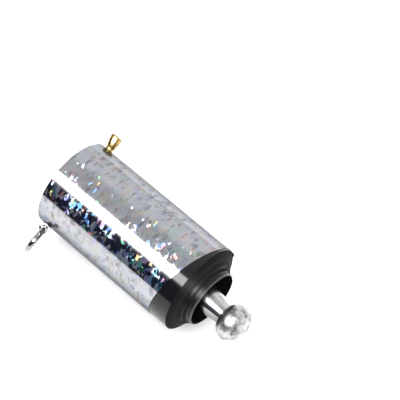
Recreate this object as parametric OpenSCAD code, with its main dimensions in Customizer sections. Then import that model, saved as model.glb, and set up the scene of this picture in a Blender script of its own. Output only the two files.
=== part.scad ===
// Spring-out magic wand, stored as a roll: one wide strip is wound in a close spiral round a metal stem.
// A pin across the base holds the spiral. With the pin pulled, each turn slides out of the one around it.
// The wand lies along +X with its base rim at x = 0, and +Z is up.

/* [Roll] */
// Outside diameter of the roll over the film
roll_d = 50; // [42:0.5:60]
// Length of the outer turn, base rim to near rim
roll_len = 89; // [74:1:120]
// Thickness of the black strip
strip_t = 0.35; // [0.25:0.01:0.45]
// Air between neighbouring turns
turn_gap = 0.3; // [0.2:0.01:0.4]
// How much further each turn stands out than the one around it
turn_rise = 0.33; // [0.1:0.01:0.6]
// Extra height of the innermost turns, which stand out as a group
core_step = 1; // [0.5:0.1:2]
// Extra height of the last turn, which makes the loop round the stem
loop_step = 1.9; // [0.5:0.1:3]
// Direction of the strip's free edge, from +Y towards +Z
seam_angle = 3; // [-10:1:8]

/* [Film] */
// Thickness of the silver film on the outer turn
film_t = 0.25; // [0.15:0.05:0.3]
// Length of the film at the middle of its slanting edge
film_len = 82.8; // [60:0.1:85]
// How much longer or shorter the film is at the two ends of its slanting edge
film_slant = 5.5; // [1:0.1:6]

/* [Latch] */
// Direction of the latch pin, from +Y towards +Z
latch_angle = 22; // [20:1:40]
// Distance of the latch pin from the base rim
pin_x = 3.5; // [3.2:0.1:6]
// Diameter of the latch pin
pin_d = 2.4; // [2:0.1:3]
// Radial running clearance of the pin in its guides
pin_clear = 0.08; // [0.05:0.01:0.1]
// Wall of the two pin guides where they pass through the roll
guide_wall = 0.6; // [0.4:0.1:0.8]
// Height of the brass ferrule above the film
ferrule_h = 8; // [6:0.1:12]
// Diameter of the ferrule at its outer end
ferrule_d = 6.7; // [5.6:0.1:9]
// Diameter of the ferrule's neck, where it meets the film
ferrule_neck_d = 4.3; // [4.1:0.1:5]
// Diameter of the round nut inside the roll that holds the ferrule
nut_d = 5.2; // [5:0.1:6]
// Diameter of the eyelet's flange
eyelet_d = 6; // [5:0.1:6.2]
// Thickness of the eyelet's flange and of its turned-over inner edge
eyelet_t = 0.45; // [0.3:0.05:0.6]

/* [Ring] */
// Outside diameter of the pull ring
ring_d = 15.6; // [14:0.1:24]
// Diameter of the pull ring's wire
ring_wire_d = 3.2; // [2:0.1:3.6]
// How far the ring is turned from square to the wand
ring_turn = 23; // [0:1:30]
// Diameter of the thread that ties the ring to the pin
thread_d = 0.7; // [0.5:0.05:0.9]

/* [Stem] */
// Diameter of the stem's cylindrical inner part
stem_d = 16.4; // [12:0.1:17]
// Diameter of the stem where it meets the knob
stem_neck_d = 11.4; // [8:0.1:12]
// Length of the stem's taper
taper_len = 16.5; // [10:0.5:24]
// Length of the stem's cylindrical inner part
stem_body_len = 18.5; // [10:0.5:24]
// How far the stem's narrow end stands out past the last turn
stem_out = 10.5; // [6:0.5:20]
// How far the stem and the knob lean towards the ring, in degrees
stem_lean = 2.1; // [0:0.1:3]
// Diameter of the knob
knob_d = 20.2; // [16:0.1:26]
// Length of the knob along the wand, if it were not cut flat at the stem
knob_len = 15.2; // [10:0.1:20]

/* [Core] */
// Diameter of the rod that joins the knob, the stem and the bushes
rod_d = 5; // [4:0.1:6]
// Length of the front bush and of the rear bush
bush_len = 12; // [8:0.5:16]
// Clear length of rod between the two bushes, less in a short roll
bush_gap = 16; // [8:1:24]
// Diameter of the rivets that fix the last turn to the bushes
rivet_d = 2.6; // [2:0.1:3]
// Width of the hexagonal nuts across their flats
hex_w = 8; // [7:0.1:9]
// Thickness of the hexagonal nuts
hex_t = 4; // [3:0.1:5]
// Diameter of the wire of the eye at the rod's rear end
eye_wire_d = 2.4; // [2:0.1:2.6]
// Diameter of the line of the retaining loop
line_d = 0.8; // [0.6:0.05:1]

/* [Hidden] */
$fn = 96;
turns = 15;                    // turns of the spiral, the outer one included
cone_turns = 11;               // turns whose near edges make the shallow cone
pitch = strip_t + turn_gap;    // how much the spiral closes in one turn
seam_gap = 0.2;                // slot where a turn ends and the next one starts
slack = 0.4;                   // clearance of the inner turns from the latch
near_all = 0.1;                // small gap between pieces that only lie near each other

// Radius of a turn's first half, which is centred a quarter pitch towards the seam
function turn_r(i) = roll_d / 2 - film_t - pitch / 4 - (i - 1) * pitch;
// Near and far edges of a turn along the wand
function near_edge(i) = roll_len + turn_rise * (i - 1)
    + (i > cone_turns ? core_step : 0) + (i == turns ? loop_step : 0);
function rear_edge(i) = i == 1 ? 0 : pin_x + nut_d / 2 + slack + turn_rise * (i - 2);
// Distance from the wand's axis to the outside of a turn, at an angle from the seam
function turn_reach(i, a) = let (
        side = a < 180 ? 1 : -1,
        c = side * pitch / 4,
        r = turn_r(i) - (side > 0 ? 0 : pitch / 2)
    ) c * cos(a) + sqrt(r * r - pow(c * sin(a), 2));

latch_from_seam = latch_angle - seam_angle;
ferrule_base = turn_reach(1, latch_from_seam) + film_t;         // film surface under the ferrule
ring_base = turn_reach(1, latch_from_seam + 180) + film_t;      // film surface under the eyelet
wall_t = strip_t + film_t;
guide_r = pin_d / 2 + pin_clear;
tenon_r = guide_r + guide_wall;
nut_drop = 0.2;                                                 // gap between a flat nut and the curved wall
nut_t = 1;
ferrule_cap = 1.5;                                              // solid end of the ferrule, past its bore

bore_r = turn_r(turns) - strip_t - pitch * 3 / 4 - 0.02;        // largest round bush the last turn takes
stem_end = near_edge(turns) + stem_out;                         // plane where the stem meets the knob
taper_start = stem_end - taper_len;
stem_start = taper_start - stem_body_len;
washer_t = 1;
stem_gap = stem_d / 2 * sin(stem_lean) + near_all;              // clears the leaning stem from the washer
front_bush_x = stem_start - stem_gap - washer_t - bush_len;
knob_cut = sqrt(1 - pow(stem_neck_d / knob_d, 2)) * knob_len / 2;
knob_mid = stem_end + knob_cut;
rod_end = knob_mid + 1;

eye_r = eye_wire_d * 1.3;                                       // centre line of the rod's eye
loop_r = max(pin_d, eye_wire_d) / 2 + near_all + line_d / 2;    // bend of the retaining loop
bar_x = rear_edge(2) + eye_wire_d + slack;                      // the eye's rear bar, inside the spiral
eye_x = bar_x + eye_r;
eye_end = eye_x + eye_r + eye_wire_d / 2;
// The rear bush moves closer to the front one where its nut would reach the eye
rear_bush_x = max(front_bush_x - bush_gap - bush_len, eye_end + slack + hex_t + washer_t);

thread_hole_r = thread_d / 2 + 0.2;
thread_hole_d = ring_base + eyelet_t + near_all + thread_hole_r;
pin_shoulder = ferrule_base + ferrule_h - 2 * ferrule_cap;      // where the pin's pointed end starts
pin_foot = thread_hole_d + thread_hole_r + 0.3;
ring_top = pin_foot + near_all + ring_wire_d / 2;               // centre of the ring's wire beside the pin
ring_r = (ring_d - ring_wire_d) / 2;
knot_d = thread_d * 2;
tie_top = thread_hole_d - 0.15;
tie_foot = ring_top + ring_wire_d / 2 + near_all + thread_d / 2;
tie_r = (tie_foot - tie_top) / 2;

function turn_name(i) = str("strip_turn_", i < 10 ? "0" : "", i);

// Places a shape that stands along +Z along the wand instead, with its +X side towards +Y
module along() rotate([90, 0, 90]) children();

// The same for the stem and the knob, which lean together from the stem's inner end outwards
module leaning() translate([stem_start, 0, 0])
    rotate(a = stem_lean, v = [0, sin(latch_angle), -cos(latch_angle)])
        translate([-stem_start, 0, 0]) along() children();

// Places a shape on the latch pin's line: +Z out through the ferrule, +X along the wand
module on_latch() translate([pin_x, 0, 0]) rotate([latch_angle - 90, 0, 0]) children();

module bend(r, wire_d, turn = 360) rotate_extrude(angle = turn) translate([r, 0]) circle(d = wire_d);

module rod(d, from, to) translate([0, 0, from]) cylinder(d = d, h = to - from);

module half_turn(r, t, from, to) rotate_extrude(angle = 180) translate([r - t, from]) square([t, to - from]);

// One turn of sheet of thickness t, whose outside stands proud of the strip's by out
module spiral_turn(i, out, t, from, to) along() rotate(seam_angle) difference() {
    union() {
        translate([pitch / 4, 0, 0]) half_turn(turn_r(i) + out, t, from, to);
        translate([-pitch / 4, 0, 0]) rotate(180) half_turn(turn_r(i) - pitch / 2 + out, t, from, to);
    }
    translate([0, -seam_gap / 2, from - 1]) cube([roll_d, seam_gap, to - from + 2]);
}

// Everything inside the film's outer face on the ring's side, grown by out
module inside_film(out) along() rotate(seam_angle)
    translate([-pitch / 4, 0, -roll_d]) cylinder(r = turn_r(1) - pitch / 2 + film_t + out, h = 2 * roll_d);

module outer_turn() color("#151517") difference() {
    spiral_turn(1, 0, strip_t, 0, near_edge(1));
    on_latch() rod(2 * tenon_r, -roll_d, roll_d);
}

module laser_film() color("#c9ccd2") difference() {
    spiral_turn(1, film_t, film_t, 0, film_len + film_slant + 1);
    on_latch() rod(2 * tenon_r, -roll_d, roll_d);
    translate([film_len, 0, 0]) rotate([latch_angle - 90, 0, 0]) rotate([0, atan(film_slant / roll_d * 2), 0])
        translate([0, -roll_d, -roll_d]) cube([roll_d, 2 * roll_d, 2 * roll_d]);
}

module strip_turn(i) color("#18181b") spiral_turn(i, 0, strip_t, rear_edge(i), near_edge(i));

// Tenon, neck, bowed flare and rounded rim, turned in one piece and drilled for the pin
module pin_ferrule() color("#c9a25a") on_latch() translate([0, 0, ferrule_base]) {
    neck = ferrule_neck_d / 2;
    mouth = ferrule_d / 2;
    neck_h = 0.8;
    edge = 0.35;
    flare_h = ferrule_h - neck_h - edge;
    foot = wall_t + nut_drop + nut_t;
    difference() {
        rotate_extrude() polygon(concat(
            [[0, -foot], [tenon_r, -foot], [tenon_r, 0], [neck, 0], [neck, neck_h]],
            [for (k = [1 : 6]) [neck + (mouth - neck) * sin(15 * k), neck_h + flare_h * k / 6]],
            [[mouth - edge, ferrule_h], [0, ferrule_h]]
        ));
        rod(2 * guide_r, -foot - 1, ferrule_h - ferrule_cap);
    }
}

module ferrule_nut() color("#b98f45") on_latch() {
    top = ferrule_base - wall_t - nut_drop;
    difference() {
        rod(nut_d, top - nut_t, top);
        rod(2 * tenon_r, top - nut_t - 1, top + 1);
    }
}

module ring_eyelet() color("#b9bcc2") difference() {
    union() {
        on_latch() rod(2 * tenon_r, -ring_base - 0.1, -ring_base + wall_t + nut_drop + eyelet_t);
        on_latch() rod(nut_d, -ring_base + wall_t + nut_drop, -ring_base + wall_t + nut_drop + eyelet_t);
        intersection() {
            on_latch() rod(eyelet_d, -ring_base - 1, -ring_base + 1);
            difference() {
                inside_film(eyelet_t);
                inside_film(0);
            }
        }
    }
    on_latch() rod(2 * guide_r, -roll_d, 0);
}

// A line round the latch pin and through the rod's eye
module retaining_loop() color("#d8d4c8") on_latch() {
    rotate(90) bend(loop_r, line_d, 180);
    translate([bar_x - pin_x, 0, 0]) rotate(-90) bend(loop_r, line_d, 180);
    for (side = [-1, 1])
        translate([0, side * loop_r, 0]) rotate([0, 90, 0]) cylinder(d = line_d, h = bar_x - pin_x);
}

module loop_crimp() color("#9a9ca0") on_latch() {
    crimp_len = 2.4;
    translate([(bar_x - pin_x - crimp_len) / 2, loop_r, 0]) rotate([0, 90, 0]) difference() {
        cylinder(d = line_d + 0.8, h = crimp_len);
        translate([0, 0, -1]) cylinder(d = line_d, h = crimp_len + 2);
    }
}

// The rivets' places: three round each bush
module at_rivets(bush_x) for (a = [50, 170, 290])
    along() rotate(seam_angle + a) translate([0, 0, bush_x + bush_len / 2]) rotate([0, 90, 0])
        rod(rivet_d, bore_r - 5, turn_reach(turns, a) - 0.03);

module bush(bush_x) difference() {
    along() rod(2 * bore_r, bush_x, bush_x + bush_len);
    along() rod(rod_d, bush_x - 1, bush_x + bush_len + 1);
    at_rivets(bush_x);
}

module rear_bush() color("#26262a") bush(rear_bush_x);

module front_bush() color("#26262a") bush(front_bush_x);

module core_rivets() color("#a7aab0") {
    at_rivets(rear_bush_x);
    at_rivets(front_bush_x);
}

// The last turn is drilled for the rivets
module last_turn() difference() {
    strip_turn(turns);
    at_rivets(rear_bush_x);
    at_rivets(front_bush_x);
}

module rod_washers() color("#b4b6ba") along()
    for (x = [rear_bush_x - washer_t, front_bush_x + bush_len]) difference() {
        rod(2.2 * rod_d, x, x + washer_t);
        rod(rod_d, x - 1, x + washer_t + 1);
    }

module rod_nuts() color("#8f9298") along()
    for (x = [rear_bush_x - washer_t - hex_t, front_bush_x - hex_t]) difference() {
        translate([0, 0, x]) cylinder(d = hex_w / cos(30), h = hex_t, $fn = 6);
        rod(rod_d, x - 1, x + hex_t + 1);
    }

// The rod ends at the rear in an eye for the retaining loop
module stem_rod() color("#9c9fa5") {
    along() rod(rod_d, eye_x + eye_r, rod_end);
    translate([eye_x - pin_x, 0, 0]) on_latch() rotate([90, 0, 0]) bend(eye_r, eye_wire_d);
}

// The stem and the knob lean, but their bores run straight along the wand
module stem() color("#cfd1d5") difference() {
    leaning() {
        rod(stem_d, stem_start, taper_start);
        translate([0, 0, taper_start]) cylinder(d1 = stem_d, d2 = stem_neck_d, h = taper_len);
    }
    along() rod(rod_d, stem_start - 1, stem_end + 1);
}

module ball_knob() color("#c4c6ca") difference() {
    leaning() intersection() {
        translate([0, 0, knob_mid]) rotate_extrude() intersection() {
            scale([1, knob_len / knob_d]) circle(d = knob_d);
            translate([0, -knob_d]) square([knob_d, 2 * knob_d]);
        }
        rod(2 * knob_d, stem_end, stem_end + 2 * knob_len);
    }
    along() rod(rod_d, stem_end - 1, rod_end);
}

module latch_pin() color("#b9bcc2") on_latch() difference() {
    union() {
        rod(pin_d, -pin_foot, pin_shoulder);
        translate([0, 0, pin_shoulder]) cylinder(d1 = pin_d, d2 = pin_d / 2, h = pin_d / 4);
    }
    translate([0, 0, -thread_hole_d]) rotate(ring_turn) rotate([0, 90, 0])
        cylinder(r = thread_hole_r, h = 2 * pin_d, center = true);
}

// A loop of thread through the pin's cross hole and round the ring, with its knot
module ring_tether() color("#1d1d20") on_latch() translate([0, 0, -(tie_top + tie_foot) / 2])
    rotate(ring_turn) {
        rotate([90, 0, 0]) bend(tie_r, thread_d);
        translate([-tie_r, 0, 0]) sphere(d = knot_d);
    }

module pull_ring() color("#c2c4c8") on_latch() translate([0, 0, -ring_top - ring_r])
    rotate(ring_turn) rotate([0, 90, 0]) bend(ring_r, ring_wire_d);

outer_turn();
laser_film();
pin_ferrule();
ferrule_nut();
ring_eyelet();
retaining_loop();
loop_crimp();
for (i = [2 : turns - 1])
    strip_turn(i);
color("#18181b") last_turn();
rear_bush();
front_bush();
core_rivets();
rod_washers();
rod_nuts();
stem_rod();
stem();
ball_knob();
latch_pin();
ring_tether();
pull_ring();
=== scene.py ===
import math

import bmesh
import bpy
from mathutils import Matrix, Vector


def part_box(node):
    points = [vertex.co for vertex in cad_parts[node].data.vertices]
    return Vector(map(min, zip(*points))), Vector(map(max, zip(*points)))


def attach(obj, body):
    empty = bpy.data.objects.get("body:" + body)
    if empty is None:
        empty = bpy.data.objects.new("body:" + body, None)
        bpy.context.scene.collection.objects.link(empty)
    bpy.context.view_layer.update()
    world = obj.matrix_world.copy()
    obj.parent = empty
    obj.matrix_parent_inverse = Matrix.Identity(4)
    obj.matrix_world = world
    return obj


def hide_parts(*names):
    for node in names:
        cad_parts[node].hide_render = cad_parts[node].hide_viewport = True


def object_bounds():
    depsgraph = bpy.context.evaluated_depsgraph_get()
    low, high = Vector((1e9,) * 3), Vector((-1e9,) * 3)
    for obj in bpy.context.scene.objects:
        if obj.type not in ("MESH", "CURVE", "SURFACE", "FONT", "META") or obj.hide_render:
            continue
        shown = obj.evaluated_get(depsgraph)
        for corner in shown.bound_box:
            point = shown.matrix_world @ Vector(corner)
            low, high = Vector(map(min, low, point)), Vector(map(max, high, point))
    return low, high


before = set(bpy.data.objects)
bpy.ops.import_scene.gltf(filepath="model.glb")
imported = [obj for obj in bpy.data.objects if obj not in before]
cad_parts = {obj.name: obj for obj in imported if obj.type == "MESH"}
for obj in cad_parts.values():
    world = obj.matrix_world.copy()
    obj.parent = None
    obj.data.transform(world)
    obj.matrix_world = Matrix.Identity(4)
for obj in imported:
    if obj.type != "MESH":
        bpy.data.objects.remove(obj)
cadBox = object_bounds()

mm = 0.001
scene = bpy.context.scene


# Places, read from the frame

latchAngle = math.radians(22)
seamAngle = math.radians(3)
alongWand = Vector((1, 0, 0))
latchOut = Vector((0, math.cos(latchAngle), math.sin(latchAngle)))   # from the pin out through the ferrule
latchSide = latchOut.cross(alongWand)
seamOut = Vector((0, math.cos(seamAngle), math.sin(seamAngle)))

rollLow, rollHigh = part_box("outer_turn")
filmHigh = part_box("laser_film")[1]
pinLow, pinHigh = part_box("latch_pin")
latchX = (pinLow.x + pinHigh.x) / 2


def inLatchFrame(x, side, out):
    return alongWand * (latchX + x) + latchSide * side + latchOut * out


# Camera

camera = {
    "azimuth": 43.2,
    "elevation": 60.35,
    "distance": 0.835,
    "lens": 150,
    "target": (0.058, 0, 0),
    "right": 0.0228,
    "up": 0.0260,
}


def makeCamera(c):
    a, e = math.radians(c["azimuth"]), math.radians(c["elevation"])
    back = Vector((math.sin(a) * math.cos(e), -math.cos(a) * math.cos(e), math.sin(e)))
    right = Vector((math.cos(a), math.sin(a), 0))
    up = back.cross(right)
    data = bpy.data.cameras.new("camera")
    data.lens = c["lens"]
    data.sensor_width = 36
    data.clip_start, data.clip_end = 0.01, 100
    made = bpy.data.objects.new("camera", data)
    made.location = Vector(c["target"]) + back * c["distance"] + right * c["right"] + up * c["up"]
    made.rotation_mode = "QUATERNION"
    made.rotation_quaternion = (-back).to_track_quat("-Z", "Y")
    scene.collection.objects.link(made)
    scene.camera = made


makeCamera(camera)
print("camera made")


# Shader maths

class Value:
    def __init__(self, shader, socket):
        self.shader, self.socket = shader, socket

    def maths(self, operation, *others):
        inputs = {i: v for i, v in enumerate((self,) + others)}
        return self.shader.node("ShaderNodeMath", {"operation": operation}, inputs)

    def __add__(self, other):
        return self.maths("ADD", other)

    def __radd__(self, other):
        return self.maths("ADD", other)

    def __sub__(self, other):
        return self.maths("SUBTRACT", other)

    def __rsub__(self, other):
        return self.shader.number(other).maths("SUBTRACT", self)

    def __mul__(self, other):
        return self.maths("MULTIPLY", other)

    def __rmul__(self, other):
        return self.maths("MULTIPLY", other)

    def __truediv__(self, other):
        return self.maths("DIVIDE", other)

    def __pow__(self, other):
        return self.maths("POWER", other)

    def over(self, other):
        return self.maths("GREATER_THAN", other)

    def smooth(self, low, high):
        return self.shader.node("ShaderNodeMapRange", {"interpolation_type": "SMOOTHSTEP", "clamp": True},
                                {"Value": self, "From Min": low, "From Max": high})


class Shader:
    def __init__(self, name, world=False):
        if world:
            self.data = bpy.data.worlds.new(name)
        else:
            self.data = bpy.data.materials.new(name)
        self.data.use_nodes = True
        self.tree = self.data.node_tree
        self.tree.nodes.clear()

    def node(self, kind, settings=None, inputs=None, output=0):
        made = self.tree.nodes.new(kind)
        for key, value in (settings or {}).items():
            if key == "stops":
                ramp = made.color_ramp
                while len(ramp.elements) < len(value):
                    ramp.elements.new(0.5)
                for element, (place, colour) in zip(ramp.elements, value):
                    element.position, element.color = place, (*colour, 1)
            else:
                setattr(made, key, value)
        for key, value in (inputs or {}).items():
            self.feed(made.inputs[key], value)
        return Value(self, made.outputs[output])

    def feed(self, socket, value):
        if isinstance(value, Value):
            self.tree.links.new(value.socket, socket)
        elif isinstance(value, tuple) and len(value) == 3 and socket.type == "RGBA":
            socket.default_value = (*value, 1)
        else:
            socket.default_value = value

    def number(self, value):
        return self.node("ShaderNodeMath", {"operation": "ADD"}, {0: value, 1: 0.0})

    def place(self, scale=(1, 1, 1), turn=(0, 0, 0)):
        coords = self.node("ShaderNodeTexCoord", output="Object")
        return self.node("ShaderNodeMapping", {}, {"Vector": coords, "Scale": scale, "Rotation": turn})

    def mix(self, factor, a, b):
        return self.node("ShaderNodeMix", {"data_type": "RGBA"}, {"Factor": factor, 6: a, 7: b}, output=2)

    def noise(self, vector, scale, detail=2.0, rough=0.5):
        return self.node("ShaderNodeTexNoise", {},
                         {"Vector": vector, "Scale": scale, "Detail": detail, "Roughness": rough})

    def bump(self, height, strength, distance):
        return self.node("ShaderNodeBump", {}, {"Height": height, "Strength": strength, "Distance": distance})

    def cells(self, scale, turn, size):
        return self.node("ShaderNodeTexVoronoi", {"distance": "MANHATTAN"},
                         {"Vector": self.place(scale, turn), "Scale": size}, output=1)

    def vector(self, operation, a, b=None):
        inputs = {0: a}
        if b is not None:
            inputs[1] = b
        return self.node("ShaderNodeVectorMath", {"operation": operation}, inputs)

    def split(self, colour):
        made = self.tree.nodes.new("ShaderNodeSeparateColor")
        self.feed(made.inputs[0], colour)
        return [Value(self, output) for output in made.outputs]

    def surface(self, **inputs):
        named = {key.replace("_", " "): value for key, value in inputs.items()}
        return self.node("ShaderNodeBsdfPrincipled", {}, named)

    def metal(self, colour, rough, normal=None, edge=(1, 1, 1)):
        more = {} if normal is None else {"Normal": normal}
        return self.surface(Base_Color=colour, Metallic=1.0, Roughness=rough, Specular_Tint=edge, **more)

    def output(self, surface):
        out = self.tree.nodes.new("ShaderNodeOutputMaterial")
        self.tree.links.new(surface.socket, out.inputs[0])
        return self.data

    def finish(self, **inputs):
        return self.output(self.surface(**inputs))


# Materials

def laserFilm():
    s = Shader("laserFilm")
    # Each shard has a tilt of its own, and smaller slivers cut across the shards
    broad = s.cells((1.1, 0.6, 0.6), (0.3, 0.2, 0.5), 400.0)
    slivers = s.cells((1, 0.45, 0.7), (0.1, 0.9, 1.3), 640.0)
    hues = s.cells((1, 0.6, 0.8), (0.9, 1.1, 0.2), 380.0)
    middle = (0.5, 0.5, 0.5)
    shardTilt = s.vector("MULTIPLY", s.vector("SUBTRACT", broad, middle), (0.35, 0.8, 0.8))
    sliverTilt = s.vector("MULTIPLY", s.vector("SUBTRACT", slivers, middle), (0.2, 0.35, 0.35))
    tilt = s.vector("ADD", shardTilt, sliverTilt)
    normal = s.node("ShaderNodeNewGeometry", output="Normal")
    normal = s.vector("NORMALIZE", s.vector("ADD", normal, tilt))
    red, green = s.split(hues)[:2]
    rainbow = [(0.0, (0.05, 0.1, 0.3)), (0.25, (0.08, 0.2, 0.34)), (0.42, (0.08, 0.27, 0.28)),
               (0.52, (0.1, 0.25, 0.1)), (0.6, (0.3, 0.25, 0.1)), (0.72, (0.34, 0.13, 0.15)),
               (0.84, (0.2, 0.14, 0.3)), (1.0, (0.07, 0.11, 0.3))]
    hue = s.node("ShaderNodeValToRGB", {"stops": rainbow}, {0: green})
    edge = (0.35, 0.35, 0.36)
    shards = s.metal(s.mix(red.over(0.42), (0.24, 0.27, 0.34), hue), 0.08, normal, edge)
    flakeRed, flakeBlue = s.split(slivers)[::2]
    haze = s.noise(s.place(), 160.0, 3.0)
    marks = flakeBlue.over(0.78) * (0.15 + flakeRed * 0.45) + haze.smooth(0.35, 0.8) * 0.14
    mirror = s.metal(s.mix(marks, (0.37, 0.37, 0.382), (0.11, 0.11, 0.12)), 0.1, edge=edge)
    return s.output(s.node("ShaderNodeMixShader", {}, {0: 0.21, 1: mirror, 2: shards}))


def glossStrip():
    s = Shader("glossStrip")
    drift = s.noise(s.place(), 60.0, 3.0)
    scuffs = s.noise(s.place((0.15, 1, 1)), 1800.0, 2.0)
    bump = s.bump(drift, 0.05, 0.0004)
    return s.finish(Base_Color=(0.004, 0.004, 0.005), Roughness=0.08 + scuffs * 0.06, Normal=bump,
                    Specular_IOR_Level=0.24)


# The turns inside are duller than the outer one
def rubbedStrip():
    s = Shader("rubbedStrip")
    scuffs = s.noise(s.place((0.15, 1, 1)), 1500.0, 3.0)
    colour = s.mix(scuffs.smooth(0.5, 0.8), (0.003, 0.003, 0.0035), (0.012, 0.011, 0.01))
    return s.finish(Base_Color=colour, Roughness=0.26 + scuffs * 0.12, Specular_IOR_Level=0.22)


# The edges of the windings show as fine lighter rings: a painted highlight, standing in for the cut edges
# catching light
def stripEdge(name, dark, light, low, high):
    s = Shader(name)
    parts = s.tree.nodes.new("ShaderNodeSeparateXYZ")
    s.feed(parts.inputs[0], s.place())
    y, z = Value(s, parts.outputs[1]), Value(s, parts.outputs[2])
    radius = (y * y + z * z) ** 0.5
    rings = s.noise(s.node("ShaderNodeCombineXYZ", {}, {0: radius}), 900.0, 3.0, 0.7)
    # painted highlight: the rings' lighter colour, broken up in patches by a noise
    glintPatches = s.noise(s.place(), 500.0, 2.0)
    colour = s.mix(rings.smooth(low, high) * (0.35 + glintPatches), dark, light)
    return s.finish(Base_Color=colour, Roughness=0.5, Specular_IOR_Level=0.12)


def polishedBrass():
    s = Shader("polishedBrass")
    place = s.place()
    tarnish = s.noise(place, 500.0, 4.0)
    colour = s.mix(tarnish.smooth(0.42, 0.75), (0.4, 0.275, 0.1), (0.16, 0.105, 0.036))
    bump = s.bump(s.noise(place, 900.0, 2.0), 0.06, 0.0002)
    return s.finish(Base_Color=colour, Metallic=1.0, Roughness=0.1 + tarnish * 0.1, Normal=bump)


def nickelPlate():
    s = Shader("nickelPlate")
    place = s.place()
    spots = s.noise(place, 800.0, 4.0)
    colour = s.mix(spots.smooth(0.5, 0.8), (0.3, 0.29, 0.275), (0.13, 0.12, 0.115))
    bump = s.bump(s.noise(place, 500.0, 2.0), 0.12, 0.0004)
    return s.finish(Base_Color=colour, Metallic=1.0, Roughness=0.1 + spots * 0.1, Normal=bump)


def turnedMetal():
    s = Shader("turnedMetal")
    rings = s.noise(s.place(scale=(1, 0.02, 0.02)), 5200.0, 2.0)
    # streaks along the stem's axis in the colour: partly grain, partly painted reflection of the light and
    # dark stripes around it
    grainAndReflectedStreaks = s.noise(s.place(scale=(0.04, 1, 1)), 330.0, 3.0, 0.6)
    bump = s.bump(rings, 0.05, 0.0001)
    colour = s.mix(grainAndReflectedStreaks.smooth(0.36, 0.64), (0.46, 0.46, 0.47), (0.15, 0.145, 0.145))
    return s.finish(Base_Color=colour, Metallic=1.0, Roughness=0.14 + rings * 0.12, Normal=bump)


def castMetal():
    s = Shader("castMetal")
    place = s.place()
    cloud = s.noise(place, 230.0, 6.0, 0.7)
    grains = s.noise(place, 1500.0, 4.0, 0.7)
    dirt = cloud.smooth(0.42, 0.62) * (0.35 + grains.smooth(0.4, 0.6))
    colour = s.mix(dirt, (0.42, 0.42, 0.43), (0.07, 0.065, 0.065))
    bump = s.bump(grains, 0.3, 0.0004)
    return s.finish(Base_Color=colour, Metallic=1.0, Roughness=0.22 + cloud * 0.2, Normal=bump)


def plainMetal(name, colour, rough):
    s = Shader(name)
    place = s.place()
    grain = s.noise(place, 1600.0, 3.0)
    mixed = s.mix(grain.smooth(0.3, 0.8), colour, tuple(c * 0.7 for c in colour))
    bump = s.bump(grain, 0.1, 0.0002)
    return s.finish(Base_Color=mixed, Metallic=1.0, Roughness=rough + grain * 0.15, Normal=bump)


def mouldedBlack():
    s = Shader("mouldedBlack")
    grain = s.noise(s.place(), 2600.0, 2.0)
    bump = s.bump(grain, 0.25, 0.0002)
    return s.finish(Base_Color=(0.02, 0.02, 0.022), Roughness=0.42 + grain * 0.2, Normal=bump)


def braidedLine(name, light, dark):
    s = Shader(name)
    waves = s.node("ShaderNodeTexWave", {"wave_type": "BANDS", "bands_direction": "DIAGONAL"},
                   {"Vector": s.place(), "Scale": 900.0, "Distortion": 1.5, "Detail": 2.0}, output=1)
    return s.finish(Base_Color=s.mix(waves, dark, light), Roughness=0.75, Normal=s.bump(waves, 0.6, 0.0002))


materials = {
    "film": laserFilm(),
    "strip": glossStrip(),
    "rubbed": rubbedStrip(),
    # painted highlight: the edge look's lighter rings and the rim look's light grey stand in for the cut
    # edges catching light
    "edge": stripEdge("stripEdge", (0.002, 0.002, 0.0025), (0.07, 0.07, 0.072), 0.48, 0.62),
    "rim": stripEdge("stripRim", (0.07, 0.07, 0.07), (0.22, 0.22, 0.21), 0.2, 0.6),
    "brass": polishedBrass(),
    "nickel": nickelPlate(),
    "turned": turnedMetal(),
    "cast": castMetal(),
    "steel": plainMetal("zincSteel", (0.33, 0.335, 0.35), 0.28),
    # painted shade: the pin's steel is a much darker copy of the steel look, so that the pin end shows dark
    "pin": plainMetal("pinSteel", (0.11, 0.105, 0.1), 0.3),
    "bush": mouldedBlack(),
    "line": braidedLine("braidedLine", (0.5, 0.48, 0.43), (0.3, 0.29, 0.25)),
    "thread": braidedLine("waxedThread", (0.03, 0.03, 0.032), (0.008, 0.008, 0.009)),
}
print("materials made:", len(materials))


# Mesh helpers

def asPiece(bm, name, body, nodes, looks, smoothAngle=35):
    bmesh.ops.remove_doubles(bm, verts=bm.verts, dist=1e-7)
    bmesh.ops.recalc_face_normals(bm, faces=bm.faces)
    sharp = math.radians(smoothAngle)
    for face in bm.faces:
        face.smooth = True
    for edge in bm.edges:
        if len(edge.link_faces) == 2:
            edge.smooth = edge.calc_face_angle(0) < sharp
    mesh = bpy.data.meshes.new(name)
    bm.to_mesh(mesh)
    bm.free()
    for look in looks:
        mesh.materials.append(materials[look])
    made = bpy.data.objects.new(name, mesh)
    scene.collection.objects.link(made)
    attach(made, body)
    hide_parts(*nodes)


def turned(profile, origin, axis, steps=96):
    bm = bmesh.new()
    side = axis.orthogonal().normalized()
    verts = [bm.verts.new(origin + axis * h + side * r) for r, h in profile]
    edges = [bm.edges.new(pair) for pair in zip(verts, verts[1:])]
    bmesh.ops.spin(bm, geom=verts + edges, cent=origin, axis=axis, angle=2 * math.pi, steps=steps,
                   use_merge=True)
    return bm


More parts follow.
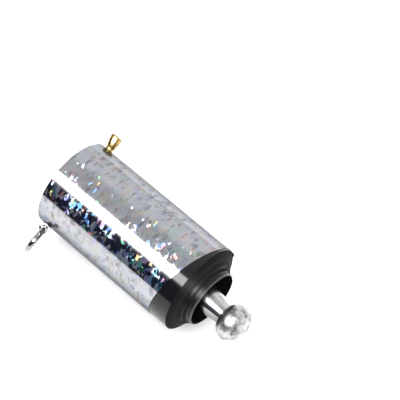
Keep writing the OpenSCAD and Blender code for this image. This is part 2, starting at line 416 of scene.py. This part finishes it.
# Sheet wound from the seam inwards: half circles whose centres alternate either side of the axis
def wound(outer, thick, low, high, pitch, halves, rise=0.0, steps=72):
    bm = bmesh.new()
    lip = min(thick * 0.3, 0.04 * mm)
    corners = [(outer, low + lip), (outer, high - lip), (outer - lip, high), (outer - thick + lip, high),
               (outer - thick, high - lip), (outer - thick, low + lip), (outer - thick + lip, low),
               (outer - lip, low)]
    loop = [bm.verts.new(alongWand * x + seamOut * r) for r, x in corners]
    edges = [bm.edges.new((loop[k], loop[(k + 1) % 8])) for k in range(8)]
    bm.faces.new(loop)
    geom = loop + edges
    for half in range(halves):
        side = 1 if half % 2 == 0 else -1
        turn = bmesh.ops.spin(bm, geom=geom, cent=seamOut * (side * pitch / 4), axis=alongWand,
                              dvec=alongWand * (rise / halves / steps), angle=math.pi, steps=steps)
        geom = [g for g in turn["geom_last"] if not isinstance(g, bmesh.types.BMFace)]
    last = [g for g in geom if isinstance(g, bmesh.types.BMVert)]
    ends = [e for e in bm.edges if len(e.link_faces) == 1 and all(v in last for v in e.verts)]
    bmesh.ops.contextual_create(bm, geom=ends)
    return bm


# The end faces near either edge get the edge look, whose lighter colour is a painted highlight
def edgesLighter(bm, low, high, reach):
    bm.normal_update()
    for face in bm.faces:
        middle = face.calc_center_median().x
        if abs(face.normal.x) > 0.4 and (middle < low + reach or middle > high - reach):
            face.material_index = 1


# The free corner beside the near rim stands off a little
def liftCorner(bm):
    upOut = alongWand.cross(seamOut)
    for vert in bm.verts:
        angle = math.degrees(math.atan2(vert.co.dot(upOut), vert.co.dot(seamOut)))
        if 0 <= angle < roll["liftAngle"]:
            share = (1 - angle / roll["liftAngle"]) ** 2
            near = min(max((vert.co.x - rollHigh.x + roll["liftLength"]) / roll["liftLength"], 0), 1)
            outwards = Vector((0, vert.co.y, vert.co.z)).normalized()
            vert.co += outwards * roll["lift"] * share * near * near


# The roll

roll = {
    "turns": 15,
    "pitch": 0.65 * mm,
    "wraps": 2,                # windings shown for each turn of the frame
    "strip": 0.15 * mm,
    "rimStrip": 0.28 * mm,     # the last turn, which shows its edge
    "loopRise": 1.0 * mm,      # how far the last turn's edge climbs
    "lift": 1.1 * mm,          # how far the free corner stands off
    "liftAngle": 16,
    "liftLength": 34 * mm,
}
finePitch = roll["pitch"] / roll["wraps"]
rollRadius = 24.75 * mm


def turnName(i):
    return f"strip_turn_{i:02d}"


def nearEdge(i):
    if i == 1:
        return rollHigh.x
    if i > roll["turns"]:
        return nearEdge(roll["turns"]) + roll["loopRise"]
    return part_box(turnName(i))[1].x


def makeRoll():
    width = nearEdge(2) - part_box(turnName(2))[0].x
    halves = 2 * roll["wraps"]
    for i in range(2, roll["turns"] + 1):
        start = rollRadius - (i - 1) * roll["pitch"]
        low, high = nearEdge(i) - width, nearEdge(i)
        rise = nearEdge(i + 1) - high
        body = "tip" if i == roll["turns"] else f"turn_{i:02d}"
        inner = "tip" if i + 1 == roll["turns"] else f"turn_{i + 1:02d}"
        thick = roll["rimStrip"] if i == roll["turns"] else roll["strip"]
        bm = wound(start, thick, low, high, finePitch, halves, rise)
        edgesLighter(bm, low, high, 3 * mm)
        edge = "rim" if i == roll["turns"] else "edge"
        asPiece(bm, f"stripTurn{i:02d}", body, [turnName(i)], ["rubbed", edge])
    print("strip wound")


def makeOuterTurn():
    bm = wound(rollRadius, roll["strip"], rollLow.x, rollHigh.x, finePitch, 2 * roll["wraps"])
    edgesLighter(bm, rollLow.x, rollHigh.x, 3 * mm)
    liftCorner(bm)
    asPiece(bm, "outerTurn", "grip", ["outer_turn"], ["strip", "edge"])


film = {
    "thick": 0.25 * mm,
    "length": 82.8 * mm,       # at the middle of its slanting edge
    "radius": 25 * mm,
}


def makeFilm():
    spare = filmHigh.x + 2 * mm    # wound longer than it is, then cut to its slanting edge
    bm = wound(rollRadius + film["thick"], film["thick"] * 0.9, 0.0, spare, finePitch, 2, steps=120)
    slant = (filmHigh.x - film["length"]) / film["radius"]
    cutNormal = (alongWand - latchOut * slant).normalized()
    bmesh.ops.bisect_plane(bm, geom=bm.verts[:] + bm.edges[:] + bm.faces[:],
                           plane_co=alongWand * film["length"], plane_no=cutNormal, clear_outer=True)
    bmesh.ops.holes_fill(bm, edges=[e for e in bm.edges if e.is_boundary], sides=0)
    liftCorner(bm)
    asPiece(bm, "laserFilm", "grip", ["laser_film"], ["film"])


makeRoll()
makeOuterTurn()
makeFilm()


# Stem and knob

stem = {
    "start": 72.02 * mm,
    "taperStart": 90.52 * mm,
    "end": 107.02 * mm,
    "radius": 8.2 * mm,
    "neck": 5.7 * mm,
    "lean": 2.1,
}
knob = {
    "middle": 113.294 * mm,
    "radius": 10.1 * mm,
    "half": 7.6 * mm,
}


def leanOver(bm):
    pivot = Matrix.Translation(alongWand * stem["start"])
    turn = Matrix.Rotation(math.radians(stem["lean"]), 4, latchSide)
    bmesh.ops.transform(bm, matrix=pivot @ turn @ pivot.inverted(), verts=bm.verts)


def makeStem():
    big, neck = stem["radius"], stem["neck"]
    length, taper = stem["end"] - stem["start"], stem["taperStart"] - stem["start"]
    profile = [(0, 0), (big - 0.5 * mm, 0), (big, 0.5 * mm), (big, taper - 0.3 * mm),
               (big - 0.03 * mm, taper + 0.3 * mm), (neck, length), (0, length)]
    bm = turned(profile, alongWand * stem["start"], alongWand, 128)
    leanOver(bm)
    asPiece(bm, "stemBody", "tip", ["stem"], ["turned"], smoothAngle=20)


def makeKnob():
    flat = stem["end"] - knob["middle"]
    start = math.asin(flat / knob["half"])
    profile = [(0, flat)]
    count = 40
    for k in range(count + 1):
        a = start + (math.pi / 2 - start) * k / count
        profile.append((knob["radius"] * math.cos(a) if k < count else 0, knob["half"] * math.sin(a)))
    bm = turned(profile, alongWand * knob["middle"], alongWand, 128)
    leanOver(bm)
    asPiece(bm, "ballKnob", "tip", ["ball_knob"], ["cast"])


makeStem()
makeKnob()
print("stem and knob made")


# Latch

ferrule = {
    "tenonFoot": -1.2 * mm,
    "straightRadius": 1.6 * mm,    # the bore stays straight within this radius
    "straightHeight": 7 * mm,      # and up to this height
    "leanFrom": 0.6 * mm,
    "base": 24.99 * mm,
    "bore": 1.28 * mm,
    "boreEnd": 6.5 * mm,
    "tenon": 1.88 * mm,
    "height": 8 * mm,
    "lean": 8,                 # the flare leans towards the base rim, its bore doesn't
    # height above the film and radius, in mm: neck, collar, flare and rounded rim
    "flare": [(0.0, 2.15), (0.5, 2.12), (0.62, 2.3), (1.0, 2.3), (1.12, 2.2), (1.7, 2.5), (2.6, 2.72),
              (3.9, 2.98), (5.2, 3.18), (6.4, 3.3), (7.5, 3.35), (7.8, 3.3), (7.95, 3.15), (8.0, 2.9)],
}


def makeFerrule():
    origin = inLatchFrame(0, 0, ferrule["base"])
    profile = [(0, ferrule["boreEnd"]), (ferrule["bore"], ferrule["boreEnd"]),
               (ferrule["bore"], ferrule["tenonFoot"]),
               (ferrule["tenon"], ferrule["tenonFoot"]), (ferrule["tenon"], 0)]
    profile += [(r * mm, h * mm) for h, r in ferrule["flare"]] + [(0, ferrule["height"])]
    bm = turned(profile, origin, latchOut, 96)
    for vert in bm.verts:
        fromBase = vert.co - origin
        height = fromBase.dot(latchOut)
        radius = (fromBase - latchOut * height).length
        if radius > ferrule["straightRadius"] or height > ferrule["straightHeight"]:
            rise = max(height - ferrule["leanFrom"], 0)
            vert.co -= alongWand * (rise * math.tan(math.radians(ferrule["lean"])))
    asPiece(bm, "pinFerrule", "grip", ["pin_ferrule"], ["brass"])


ring = {
    "turn": 23,
    "wire": 1.6 * mm,
    "radius": 6.2 * mm,
}
ringTurn = math.radians(ring["turn"])
ringAcross = (alongWand * math.cos(ringTurn) + latchSide * math.sin(ringTurn)).normalized()


def makeRing():
    low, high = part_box("pull_ring")
    bm = bmesh.new()
    side = ringAcross.cross(latchOut).normalized()
    bmesh.ops.create_circle(bm, segments=28, radius=ring["wire"])
    bmesh.ops.rotate(bm, verts=bm.verts, matrix=Matrix.Rotation(math.pi / 2, 3, "X"))
    bmesh.ops.translate(bm, verts=bm.verts, vec=(ring["radius"], 0, 0))
    bmesh.ops.spin(bm, geom=bm.verts[:] + bm.edges[:], cent=(0, 0, 0), axis=(0, 0, 1), angle=2 * math.pi,
                   steps=112, use_merge=True)
    basis = Matrix((side, ringAcross.cross(side), ringAcross)).transposed().to_4x4()
    bmesh.ops.transform(bm, matrix=Matrix.Translation((low + high) / 2) @ basis, verts=bm.verts)
    asPiece(bm, "pullRing", "ring", ["pull_ring"], ["nickel"])


tether = {
    "thread": 0.24 * mm,
    "width": 1.95 * mm,
    "tail": 0.28 * mm,
    "top": 25.616 * mm,        # from the axis, inside the pin's cross hole
    "foot": 30.366 * mm,       # and round the ring
    "knotGap": 0.15 * mm,      # from the loop to the middle of the knot
    "knotTurns": ((0.5, 0.42 * mm), (-0.6, 0.4 * mm), (1.4, 0.36 * mm)),    # lean in radians, radius
    "tailReach": 1.2 * mm,
    "tailBend": 0.5 * mm,
}


def sweep(bm, path, radius, closed):
    count, sides = len(path), 10
    rings = []
    normal = (path[1] - path[0]).orthogonal().normalized()
    for k, point in enumerate(path):
        ahead = path[(k + 1) % count] if closed or k < count - 1 else point
        behind = path[k - 1] if closed or k > 0 else point
        tangent = (ahead - behind).normalized()
        normal = (normal - tangent * normal.dot(tangent)).normalized()
        other = tangent.cross(normal)
        rings.append([bm.verts.new(point + normal * (radius * math.cos(a)) + other * (radius * math.sin(a)))
                      for a in (2 * math.pi * j / sides for j in range(sides))])
    pairs = list(zip(rings, rings[1:] + ([rings[0]] if closed else [])))
    for first, second in pairs:
        for j in range(sides):
            i = (j + 1) % sides
            bm.faces.new((first[j], first[i], second[i], second[j]))
    if not closed:
        bm.faces.new(rings[0])
        bm.faces.new(rings[-1])


# The thread goes once through the pin and round the ring, and is knotted with three small turns and two tails
def makeTether():
    middle = inLatchFrame(0, 0, -(tether["top"] + tether["foot"]) / 2)
    half = (tether["foot"] - tether["top"]) / 2
    across = ringAcross
    bm = bmesh.new()
    loop = [middle + latchOut * (half * math.cos(a)) + across * (tether["width"] * math.sin(a))
            for a in (2 * math.pi * k / 60 for k in range(60))]
    sweep(bm, loop, tether["thread"], True)
    knot = middle + across * (-tether["width"] - tether["knotGap"])
    inPlane = across.cross(latchOut)
    for tilt, size in tether["knotTurns"]:
        axis = (latchOut * math.cos(tilt) + inPlane * math.sin(tilt)).normalized()
        side = axis.cross(across).normalized()
        sweep(bm, [knot + side * (size * math.cos(a)) + across * (size * 0.8 * math.sin(a))
                   for a in (2 * math.pi * k / 20 for k in range(20))], tether["tail"], True)
    for lean in (0.7, -0.7):
        far = (latchOut * math.cos(lean) * 0.6 - across * 0.8 + inPlane * math.sin(lean)).normalized()
        tail = [knot + far * (tether["tailReach"] * t) + latchOut * (tether["tailBend"] * t * t)
                for t in (0, 0.25, 0.5, 0.75, 1.0)]
        sweep(bm, tail, tether["tail"], False)
    asPiece(bm, "ringTether", "pin", ["ring_tether"], ["thread"], smoothAngle=60)


makeFerrule()
makeRing()
makeTether()
print("latch made")


# Carried-over pieces get their finishes

finishes = {
    "brass": ["ferrule_nut"],
    "nickel": ["ring_eyelet"],
    "pin": ["latch_pin"],
    "line": ["retaining_loop"],
    "steel": ["loop_crimp", "rod_washers", "rod_nuts", "stem_rod"],
    "bush": ["rear_bush", "front_bush"],
    "turned": ["core_rivets"],
}
for look, nodes in finishes.items():
    for name in nodes:
        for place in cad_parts[name].material_slots:
            place.material = materials[look]
print("finishes given")


# Floor, sky and lights

studio = {
    "floor": 40.0,
    "floorColour": (0.8, 0.8, 0.8),
    # place, aim, turn about the aim, size, power, lights the floor, seen in reflections
    "lights": {
        "strip": ((0.0865, -0.5905, 1.1414), (-0.157, -0.0536, 0), 7.1, (0.5, 1.7), 62.0, False, True),
        "overhead": ((0.1, -1.3, 2.4), (0.1, -1.3, 0), 0, (8.0, 8.0), 540.0, True, False),
    },
    # brightness of the room, from +Y over the top to -Y, against the share of the half turn
    "room": [(0.0, 0.9), (0.3, 0.9), (0.37, 0.62), (0.745, 0.6), (0.757, 0.03), (1.0, 0.03)],
    "roomDark": (0.55, 0.7, 1.3),
    "roomStrength": 1.6,
}


def makeFloor():
    bm = bmesh.new()
    bmesh.ops.create_grid(bm, x_segments=1, y_segments=1, size=studio["floor"] / 2)
    bmesh.ops.translate(bm, verts=bm.verts, vec=(0, 0, cadBox[0].z))
    mesh = bpy.data.meshes.new("floor")
    bm.to_mesh(mesh)
    bm.free()
    s = Shader("paleFloor")
    mesh.materials.append(s.finish(Base_Color=studio["floorColour"], Roughness=0.6, Specular_IOR_Level=0.1))
    made = bpy.data.objects.new("floor", mesh)
    scene.collection.objects.link(made)


def makeSky():
    s = Shader("studioSky", world=True)
    parts = s.tree.nodes.new("ShaderNodeSeparateXYZ")
    s.feed(parts.inputs[0], s.node("ShaderNodeTexCoord", output="Generated"))
    y, z = Value(s, parts.outputs[1]), Value(s, parts.outputs[2])
    angle = z.maths("ARCTAN2", y) / math.pi
    stops = []
    for place, level in studio["room"]:
        tint = studio["roomDark"] if level < 0.1 else (1, 1, 1)
        stops.append((place, tuple(level * t for t in tint)))
    back = s.tree.nodes.new("ShaderNodeBackground")
    s.feed(back.inputs[0], s.node("ShaderNodeValToRGB", {"stops": stops}, {0: angle}))
    back.inputs[1].default_value = studio["roomStrength"]
    out = s.tree.nodes.new("ShaderNodeOutputWorld")
    s.tree.links.new(back.outputs[0], out.inputs[0])
    scene.world = s.data


def makeLights():
    for name, (place, aim, turn, size, power, onFloor, reflected) in studio["lights"].items():
        data = bpy.data.lights.new(name, "AREA")
        data.shape = "RECTANGLE"
        data.size, data.size_y = size
        data.energy = power
        made = bpy.data.objects.new(name, data)
        back = (Vector(place) - Vector(aim)).normalized()
        across = (alongWand - back * back.x).normalized()
        up = back.cross(across)
        t = math.radians(turn)
        longSide = across * math.cos(t) + up * math.sin(t)
        basis = Matrix((longSide.cross(back), longSide, back)).transposed()
        made.matrix_world = Matrix.Translation(place) @ basis.to_4x4()
        made.visible_camera = False
        made.visible_diffuse = onFloor
        made.visible_glossy = reflected
        scene.collection.objects.link(made)


makeFloor()
makeSky()
makeLights()
scene.view_settings.view_transform = "Standard"
print("studio made")
